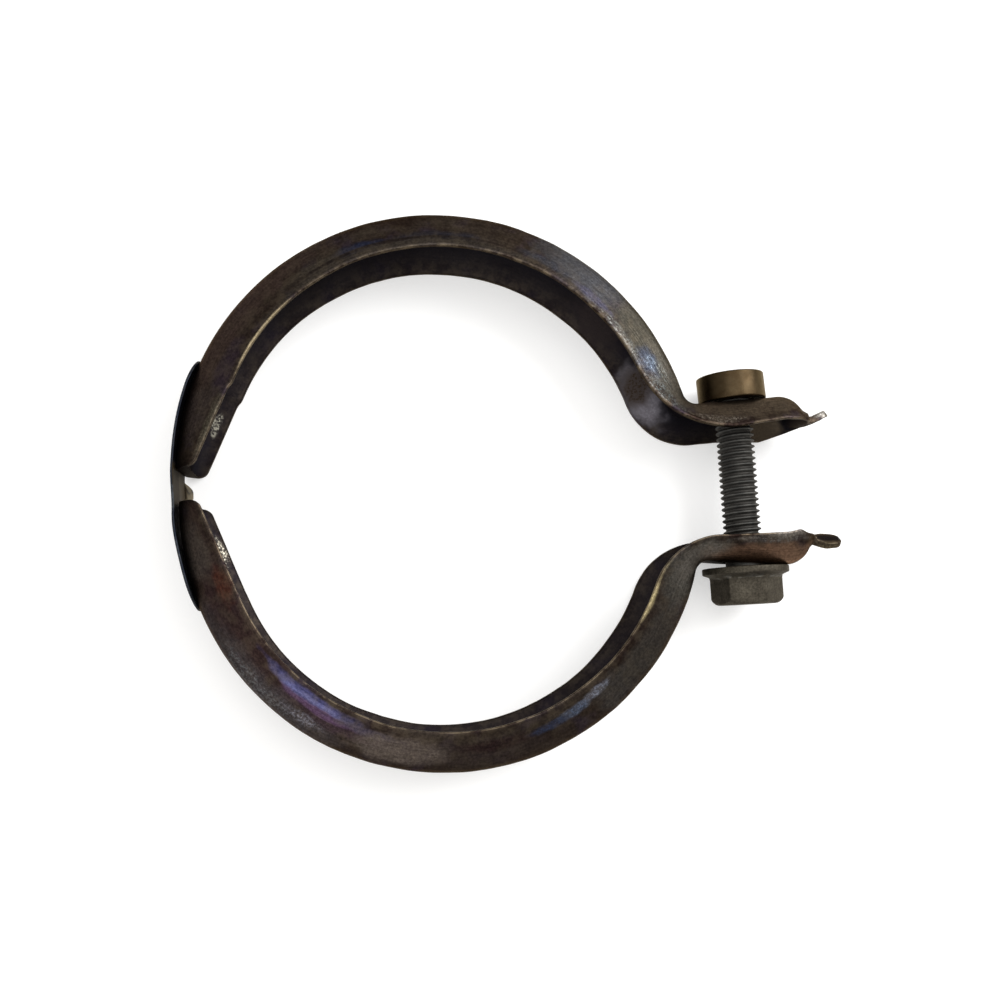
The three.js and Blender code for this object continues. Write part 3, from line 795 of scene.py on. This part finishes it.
class Look:
    """A node material of the steels, with short calls for its nodes."""

    def __init__(self, name, metallic=1.0):
        self.material = bpy.data.materials.new(name)
        self.material.use_nodes = True
        self.tree = self.material.node_tree
        self.shader = self.tree.nodes["Principled BSDF"]
        self.shader.inputs["Metallic"].default_value = metallic
        self.shader.inputs["Specular Tint"].default_value = OXIDE_TINT
        self.place = self.node("ShaderNodeTexCoord").outputs["Object"]

    def node(self, kind, inputs=(), **settings):
        made = self.tree.nodes.new(kind)
        for key, value in settings.items():
            setattr(made, key, value)
        for key, value in dict(inputs).items():
            self.feed(made.inputs[key], value)
        return made

    def feed(self, socket, value):
        if isinstance(value, bpy.types.NodeSocket):
            self.tree.links.new(value, socket)
        else:
            socket.default_value = value

    def attribute(self, name, output="Fac"):
        return self.node("ShaderNodeAttribute", attribute_name=name).outputs[output]

    def noise(self, grain, detail=4.0, rough=0.55, place=None):
        """Noise whose grain is in millimetres, or in the units of place where one is given."""
        scale = 1 / grain if place else 1 / (grain * MM)
        vector = place or self.place
        inputs = {"Vector": vector, "Scale": scale, "Detail": detail, "Roughness": rough}
        return self.node("ShaderNodeTexNoise", inputs).outputs["Fac"]

    def math(self, operation, a, b=0.0):
        made = self.node("ShaderNodeMath", operation=operation)
        self.feed(made.inputs[0], a)
        self.feed(made.inputs[1], b)
        return made.outputs[0]

    def remap(self, value, low, high, to_low=0.0, to_high=1.0):
        inputs = {0: value, 1: low, 2: high, 3: to_low, 4: to_high}
        made = self.node("ShaderNodeMapRange", inputs, interpolation_type="SMOOTHSTEP")
        return made.outputs[0]

    def mix(self, share, a, b):
        """Between two colours, given as (r, g, b) or as sockets."""
        made = self.node("ShaderNodeMix", data_type="RGBA")
        self.feed(made.inputs[0], share)
        for socket, value in ((made.inputs[6], a), (made.inputs[7], b)):
            self.feed(socket, value if isinstance(value, bpy.types.NodeSocket) else (*value, 1))
        return made.outputs[2]

    def blend(self, share, a, b):
        """Between two numbers."""
        made = self.node("ShaderNodeMix", data_type="FLOAT")
        for index, value in enumerate((share, a, b)):
            self.feed(made.inputs[index if index == 0 else index + 1], value)
        return made.outputs[0]

    def shade(self, colour, share):
        """A colour darkened or lightened by a share."""
        made = self.node("ShaderNodeVectorMath", operation="SCALE")
        self.feed(made.inputs[0], colour)
        self.feed(made.inputs["Scale"], share)
        return made.outputs[0]

    def stretched(self, vector, scale):
        made = self.node("ShaderNodeVectorMath", operation="MULTIPLY")
        self.feed(made.inputs[0], vector)
        made.inputs[1].default_value = scale
        return made.outputs[0]

    def bumps(self, *layers):
        """Layers of (height socket, depth in millimetres), stacked."""
        normal = None
        for height, depth in layers:
            inputs = {"Height": height, "Distance": depth * MM, "Strength": 1.0}
            if normal:
                inputs["Normal"] = normal
            normal = self.node("ShaderNodeBump", inputs).outputs["Normal"]
        self.feed(self.shader.inputs["Normal"], normal)

    def finish(self, colour, roughness):
        self.feed(self.shader.inputs["Base Color"], colour)
        self.feed(self.shader.inputs["Roughness"], roughness)
        return self.material


# A patch of a jaw: mostly tints and wear, some painted highlights, glints, sheen, light and shade.
# at is a band angle in degrees, or an x on the lug; across is the distance from the crown's
# middle, on the top leg where positive. speckle breaks it up.
Patch = namedtuple("Patch", "at across length width colour roughness speckle")
LUG_MARK = 1000.0
LUG_STATIONS = 100
TIP_ACROSS = 14.5  # past the leg's tip, on the inside


def on_lug(x):
    """Marks an x on the lug, as against a band angle."""
    return LUG_MARK + x


UPPER_PATCHES = [
    # Partly grey tint, partly a painted highlight where the lamp's reflection falls on the upper
    # right.
    Patch(47, 8.0, 14, 5.5, (0.062, 0.063, 0.070), 0.40, 0.15),
    Patch(27, 9.0, 12, 5.5, (0.054, 0.050, 0.040), 0.42, 0.2),
    Patch(15, 8.0, 9, 5.0, (0.056, 0.052, 0.044), 0.40, 0.3),
    Patch(106, 11.4, 7, 1.6, (0.018, 0.022, 0.045), 0.34, 0.1),
    Patch(86, 11.6, 12, 1.5, (0.022, 0.021, 0.028), 0.40, 0.2),
    Patch(140, 7.5, 26, 3.5, (0.042, 0.028, 0.024), 0.44, 0.2),
    Patch(118, 11.5, 8, 2.0, (0.046, 0.038, 0.030), 0.42, 0.2),
    Patch(150, 11.5, 8, 2.2, (0.030, 0.021, 0.028), 0.42, 0.2),
    Patch(163, 9.0, 7, 4.0, (0.046, 0.035, 0.032), 0.42, 0.3),
    Patch(42, 12.2, 7, 1.2, (0.066, 0.064, 0.098), 0.34, 0.3),
    Patch(57, 11.5, 7, 1.4, (0.045, 0.046, 0.056), 0.35, 0.3),
    Patch(29, 13.3, 13, 1.4, (0.115, 0.115, 0.108), 0.32, 0.8),
    Patch(21, 11.0, 4.0, 3.0, (0.040, 0.048, 0.072), 0.34, 0.2),
    # Painted glint: bright silver-blue spot near the bend.
    Patch(20.5, 10.6, 2.4, 1.8, (0.130, 0.160, 0.205), 0.26, 0.8),
    Patch(18, 9.0, 3.0, 1.5, (0.105, 0.110, 0.105), 0.30, 0.9),
    Patch(14, 12.2, 5, 2.0, (0.110, 0.118, 0.118), 0.28, 0.9),
    # Painted highlight: brassy line along the near leg's tip at the upper left.
    Patch(139, 14.1, 12, 0.5, (0.300, 0.245, 0.150), 0.30, 0.3),
    Patch(165, 13.4, 8, 1.2, (0.095, 0.083, 0.062), 0.34, 0.6),
    Patch(on_lug(58), 12.0, 6, 1.5, (0.185, 0.160, 0.135), 0.30, 0.9),
    Patch(on_lug(64), 7.5, 14, 5.0, (0.064, 0.048, 0.0345), 0.40, 0.1),
    Patch(on_lug(72), 9.5, 3, 2.0, (0.062, 0.048, 0.0355), 0.34, 0.4),
    Patch(on_lug(82.5), 8.0, 2.6, 9.0, (0.300, 0.285, 0.260), 0.28, 0.4),
    # Painted light: the far leg's inside face at the lug is lightened, as if lit.
    Patch(on_lug(48), -19.0, 7, 6.0, (0.115, 0.108, 0.124), 0.42, 0.2),
    Patch(38, -19.5, 9, 5.0, (0.018, 0.014, 0.014), 0.45, 0.2),
    Patch(19, -19.5, 4, 5.0, (0.026, 0.018, 0.0125), 0.45, 0.2),
    Patch(on_lug(70), -18.5, 9, 7.0, (0.062, 0.048, 0.034), 0.42, 0.2),
    # Painted light and painted shade: a lighter strip over a dark line stand for a slight flare of
    # the leg near its tip.
    Patch(95, 13.2, 45, 1.2, (0.037, 0.031, 0.027), 0.40, 0.2),
    Patch(100, 11.9, 36, 0.5, (0.017, 0.013, 0.012), 0.46, 0.2),
    Patch(162, -18.2, 3.0, 1.1, (0.330, 0.315, 0.260), 0.28, 0.95),
]
LOWER_PATCHES = [
    Patch(150, 10.5, 30, 4.5, (0.030, 0.0175, 0.017), 0.45, 0.2),
    Patch(166, 8.5, 7, 4.5, (0.056, 0.045, 0.040), 0.42, 0.2),
    Patch(44, 9.0, 7, 4.0, (0.050, 0.045, 0.043), 0.42, 0.2),
    Patch(133, 6.5, 22, 4.0, (0.040, 0.034, 0.036), 0.36, 0.3),
    Patch(112, 10.0, 16, 1.8, (0.034, 0.022, 0.026), 0.42, 0.2),
    Patch(80, 9.0, 20, 3.0, (0.030, 0.022, 0.020), 0.42, 0.2),
    Patch(33, 9.0, 16, 4.0, (0.042, 0.037, 0.033), 0.42, 0.2),
    Patch(12, 9.5, 10, 5.0, (0.066, 0.063, 0.056), 0.42, 0.3),
    # Painted sheen: blue stripe with a purple border on the lower left of the band.
    Patch(124, 12.5, 14, 1.1, (0.044, 0.044, 0.108), 0.32, 0.1),
    Patch(122, 11.7, 12, 1.1, (0.085, 0.086, 0.185), 0.32, 0.1),
    Patch(118, 10.8, 12, 0.9, (0.070, 0.040, 0.075), 0.36, 0.1),
    Patch(107, 11.2, 9, 1.1, (0.046, 0.038, 0.056), 0.38, 0.1),
    Patch(157, 12.0, 5, 2.2, (0.062, 0.023, 0.016), 0.42, 0.3),
    Patch(133, 6.4, 12, 2.0, (0.082, 0.080, 0.083), 0.30, 0.85),
    Patch(122, 7.8, 5, 1.4, (0.105, 0.100, 0.115), 0.30, 0.85),
    Patch(99, 9.4, 11, 3.4, (0.092, 0.074, 0.064), 0.50, 0.3),
    Patch(76, 10.5, 9, 1.6, (0.021, 0.012, 0.012), 0.42, 0.3),
    # Painted highlight: bright silver-blue highlight and its bluer edge on the lower right.
    Patch(49, 11.6, 4, 1.1, (0.230, 0.245, 0.310), 0.26, 0.7),
    Patch(56, 11.0, 5, 1.2, (0.100, 0.125, 0.190), 0.28, 0.5),
    Patch(63, 10.6, 5, 1.1, (0.032, 0.040, 0.075), 0.34, 0.4),
    # Painted highlight: brassy line along the leg's tip on the lower right.
    Patch(23, 14.0, 7, 0.8, (0.380, 0.315, 0.172), 0.26, 0.4),
    Patch(on_lug(65), 7.6, 14, 4.4, (0.158, 0.094, 0.062), 0.38, 0.1),
    Patch(on_lug(52), 9.5, 7, 4.0, (0.122, 0.110, 0.097), 0.38, 0.3),
    Patch(on_lug(66), 12.6, 10, 1.6, (0.120, 0.110, 0.102), 0.34, 0.7),
    Patch(on_lug(69), 13.5, 4, 0.7, (0.230, 0.210, 0.190), 0.30, 0.5),
    Patch(on_lug(60), 13.0, 2.5, 0.9, (0.190, 0.170, 0.155), 0.30, 0.6),
    Patch(on_lug(81), 8.0, 4, 9.0, (0.100, 0.082, 0.052), 0.32, 0.5),
    Patch(166.5, -17.0, 4, 1.6, (0.260, 0.240, 0.195), 0.30, 0.9),
]


def patch_along(jaw, at):
    """Where a patch lies along the crown. x grows all the way along the last stations."""
    if at < LUG_MARK:
        return BAND_RADIUS * (math.pi - math.radians(at))
    stations = jaw_stations(jaw)
    reached = [place.outer.real for place in stations[-LUG_STATIONS:]]
    return float(np.interp(at - LUG_MARK, reached, lengths(stations)[-LUG_STATIONS:]))


def jaw_steel(jaw, name, patches):
    """Tinted brown steel, darker inside the channel with soot and painted shade, with the patches
    on the outside, and past the tips over the inside; some patches are painted highlights, sheen,
    light and shade.
    """
    look = Look(name)
    flow = look.attribute("flow", "Vector")
    drawn = look.stretched(flow, (0.3, 1, 0))
    clouds = look.noise(5, detail=5, rough=0.55, place=drawn)
    cloudy = look.remap(clouds, 0.25, 0.75)
    colour = look.mix(cloudy, (0.0170, 0.0105, 0.0088), (0.0400, 0.0310, 0.0250))
    tinted = look.remap(look.noise(6, detail=3), 0.50, 0.72)
    colour = look.mix(tinted, colour, (0.0260, 0.0190, 0.0250))
    roughness = look.remap(look.noise(3, detail=5), 0.3, 0.7, 0.38, 0.52)
    wander = look.remap(look.noise(3.5, detail=2), 0, 1, -0.35, 0.35)
    speckles = look.remap(look.noise(0.5, detail=3, rough=0.7), 0.47, 0.60)
    streaks = look.noise(1.0, detail=3, place=look.stretched(flow, (0.10, 2.4, 0)))
    # Lighter tip edges: wear, and partly a painted highlight along the legs' tips.
    edge_wear_and_highlight = look.math("MULTIPLY", look.attribute("edge"), look.remap(look.noise(2.2), 0.40, 0.66))
    # Inside the channel: soot and scale, and painted shade under the near leg.
    inside = look.mix(clouds, (0.0066, 0.0060, 0.0074), (0.0135, 0.0125, 0.0165))

    def patched(colour, roughness, patches):
        for patch in patches:
            mask = patch_mask(look, flow, patch_along(jaw, patch.at), patch, wander)
            mask = look.math("MULTIPLY", mask, look.blend(patch.speckle, 1.0, speckles))
            colour = look.mix(mask, colour, patch.colour)
            roughness = look.blend(mask, roughness, patch.roughness)
        return colour, roughness

    on_outside = [patch for patch in patches if abs(patch.across) < TIP_ACROSS]
    past_tip = [patch for patch in patches if abs(patch.across) >= TIP_ACROSS]
    colour, roughness = patched(colour, roughness, on_outside)
    dust = look.noise(0.55, detail=3, rough=0.75)
    colour = look.shade(colour, look.remap(streaks, 0.3, 0.7, 0.84, 1.16))
    colour = look.shade(colour, look.remap(dust, 0.3, 0.7, 0.70, 1.32))
    # Wear and painted highlight on the tip edges.
    colour = look.mix(look.math("MULTIPLY", edge_wear_and_highlight, 0.6), colour, (0.160, 0.126, 0.085))
    roughness = look.blend(edge_wear_and_highlight, roughness, 0.34)
    # Darker inside faces: soot and scale, and painted shade.
    inner = look.attribute("inner")
    colour = look.mix(inner, colour, inside)
    roughness = look.blend(inner, roughness, 0.58)
    colour, roughness = patched(colour, roughness, past_tip)
    grain = look.noise(0.35, detail=4, rough=0.7)
    pits = look.remap(look.noise(1.3, detail=2), 0.30, 0.42)
    look.bumps((grain, 0.022), (pits, 0.018), (streaks, 0.04))
    return look.finish(colour, roughness)


def patch_mask(look, flow, along, patch, wander):
    """1 in the middle of a patch, falling to 0 past its ends, with a wandering outline."""
    moved = look.node("ShaderNodeVectorMath", operation="SUBTRACT")
    look.feed(moved.inputs[0], flow)
    moved.inputs[1].default_value = (along, patch.across, 0)
    scaled = look.stretched(moved.outputs[0], (1 / patch.length, 1 / patch.width, 1))
    length = look.node("ShaderNodeVectorMath", operation="LENGTH")
    look.feed(length.inputs[0], scaled)
    reach = look.math("ADD", length.outputs["Value"], wander)
    return look.remap(reach, 1.15, 0.45)


def leaf_steel():
    look = Look("leaf_steel")
    mottle = look.noise(5, detail=5, rough=0.6)
    outer = look.mix(look.remap(mottle, 0.3, 0.7), (0.011, 0.014, 0.021), (0.026, 0.028, 0.033))
    bare = look.mix(look.remap(mottle, 0.3, 0.7), (0.170, 0.140, 0.095), (0.250, 0.212, 0.150))
    inner = look.attribute("inner")
    bared = look.remap(inner, 0.0, 0.1)
    face = look.mix(bared, outer, (0.022, 0.0155, 0.008))
    colour = look.mix(look.remap(inner, 0.1, 1.0), face, bare)
    # Lighter side edges of the leaf: painted highlight, broken up by noise.
    edge_wear_and_highlight = look.math("MULTIPLY", look.attribute("edge"), look.remap(look.noise(2.2), 0.48, 0.68))
    colour = look.mix(edge_wear_and_highlight, colour, (0.045, 0.050, 0.056))
    roughness = look.remap(look.noise(2.0, detail=5), 0.3, 0.7, 0.30, 0.48)
    roughness = look.blend(bared, roughness, 0.7)
    look.feed(look.shader.inputs["Metallic"], look.blend(bared, 1.0, 0.0))
    look.feed(look.shader.inputs["Specular IOR Level"], look.blend(bared, 0.5, 0.1))
    look.bumps((look.noise(0.4, detail=3), 0.02))
    return look.finish(colour, roughness)


def bolt_steel():
    look = Look("bolt_steel", metallic=0.75)
    mottle = look.noise(2.4, detail=4, rough=0.5)
    zinc = look.mix(look.remap(mottle, 0.35, 0.65), (0.058, 0.058, 0.056), (0.105, 0.103, 0.097))
    head = look.mix(look.remap(mottle, 0.2, 0.8), (0.034, 0.029, 0.022), (0.074, 0.065, 0.050))
    specks = look.remap(look.noise(0.45, detail=4, rough=0.7), 0.3, 0.7)
    head = look.shade(head, look.blend(specks, 0.6, 1.4))
    colour = look.mix(look.attribute("head"), zinc, head)
    dirt = look.attribute("dirt")
    patchy = look.remap(look.noise(1.6), 0.45, 0.65, 0.0, 0.8)
    dusty = look.math("MULTIPLY", look.attribute("head"), look.math("MULTIPLY", dirt, patchy))
    colour = look.mix(dusty, colour, (0.150, 0.143, 0.128))
    # Darker in the thread's roots, by how deep the root is.
    rooted = look.math("MULTIPLY", look.math("SUBTRACT", 1.0, look.attribute("head")), dirt)
    colour = look.mix(look.math("MULTIPLY", rooted, 0.8), colour, (0.028, 0.026, 0.024))
    roughness = look.remap(look.noise(1.2, detail=5), 0.3, 0.7, 0.48, 0.66)
    look.bumps((look.noise(0.25, detail=4, rough=0.7), 0.03), (look.noise(1.5, detail=3), 0.05))
    return look.finish(colour, roughness)


def nut_steel():
    look = Look("nut_steel")
    look.shader.inputs["Specular Tint"].default_value = TURNED_TINT
    mottle = look.noise(4, detail=5, rough=0.6)
    colour = look.mix(look.remap(mottle, 0.3, 0.7), (0.042, 0.028, 0.0145), (0.064, 0.046, 0.026))
    turning = look.noise(0.16, detail=2, place=look.stretched(look.place, (400, 9000, 400)))
    colour = look.shade(colour, look.remap(turning, 0.3, 0.7, 0.88, 1.1))
    roughness = look.remap(look.noise(1.5, detail=4), 0.3, 0.7, 0.34, 0.46)
    look.bumps((turning, 0.006), (look.noise(0.6, detail=3), 0.008))
    return look.finish(colour, roughness)


# ---- Object ----
make_jaw(UPPER, "upper_jaw", jaw_steel(UPPER, "upper_jaw_steel", UPPER_PATCHES), seed=17.0)
make_jaw(LOWER, "lower_jaw", jaw_steel(LOWER, "lower_jaw_steel", LOWER_PATCHES), seed=53.0)
make_leaf(leaf_steel())
make_bolt(bolt_steel())
make_nut(nut_steel())


# ---- Floor, light and camera ----
FLOOR_HALF = 3.0
FLOOR_Z = -0.0001  # just clear of the clamp


def pale_floor():
    mesh = bpy.data.meshes.new("floor")
    square = (-1, -1), (1, -1), (1, 1), (-1, 1)
    corners = [(x * FLOOR_HALF, y * FLOOR_HALF, FLOOR_Z) for x, y in square]
    mesh.from_pydata(corners, [], [(0, 1, 2, 3)])
    material = bpy.data.materials.new("pale_floor")
    material.use_nodes = True
    shader = material.node_tree.nodes["Principled BSDF"]
    shader.inputs["Base Color"].default_value = (0.6, 0.6, 0.6, 1)
    shader.inputs["Roughness"].default_value = 0.9
    shader.inputs["Emission Color"].default_value = (1, 1, 1, 1)
    shader.inputs["Emission Strength"].default_value = 0.45
    mesh.materials.append(material)
    floor = bpy.data.objects.new("floor", mesh)
    bpy.context.scene.collection.objects.link(floor)


def soft_light(name, azimuth, height, distance, size, power):
    """A square lamp aimed at the clamp, azimuth degrees from +X and height degrees up."""
    lamp = bpy.data.lights.new(name, "AREA")
    lamp.size = size
    lamp.energy = power
    turn, rise = math.radians(azimuth), math.radians(height)
    level = math.cos(rise)
    back = Vector((math.cos(turn) * level, math.sin(turn) * level, math.sin(rise)))
    holder = bpy.data.objects.new(name, lamp)
    holder.location = back * distance
    holder.rotation_mode = "QUATERNION"
    holder.rotation_quaternion = (-back).to_track_quat("-Z", "Y")
    holder.visible_camera = False
    bpy.context.scene.collection.objects.link(holder)


def studio():
    world = bpy.data.worlds.new("studio")
    world.use_nodes = True
    background = world.node_tree.nodes["Background"]
    background.inputs["Color"].default_value = (1.0, 0.975, 0.93, 1)
    background.inputs["Strength"].default_value = 0.62
    bpy.context.scene.world = world
    soft_light("key", azimuth=32, height=42, distance=0.75, size=0.45, power=5)
    soft_light("fill", azimuth=-125, height=50, distance=0.8, size=0.6, power=1.5)
    soft_light("top", azimuth=100, height=72, distance=0.9, size=0.7, power=3)


CAMERA_FROM_HINGE = Vector((35.04, -28.76, 220.47))  # millimetres
CAMERA_LOOK = Vector((0.1284, 0.1167, -0.9848)).normalized()
CAMERA_RIGHT = Vector((0.9915, -0.0360, 0.1250))
CAMERA_LENS = 39.19


def place_camera():
    lens = bpy.data.cameras.new("camera")
    lens.lens = CAMERA_LENS
    lens.sensor_width = 36
    lens.clip_start = 0.01
    camera = bpy.data.objects.new("camera", lens)
    right = (CAMERA_RIGHT - CAMERA_RIGHT.dot(CAMERA_LOOK) * CAMERA_LOOK).normalized()
    up = right.cross(CAMERA_LOOK)
    turned = Matrix((right, up, -CAMERA_LOOK)).transposed().to_4x4()
    camera.matrix_world = Matrix.Translation(HINGE + CAMERA_FROM_HINGE * MM) @ turned
    bpy.context.scene.collection.objects.link(camera)
    bpy.context.scene.camera = camera


pale_floor()
studio()
place_camera()
bpy.context.scene.view_settings.view_transform = "Standard"
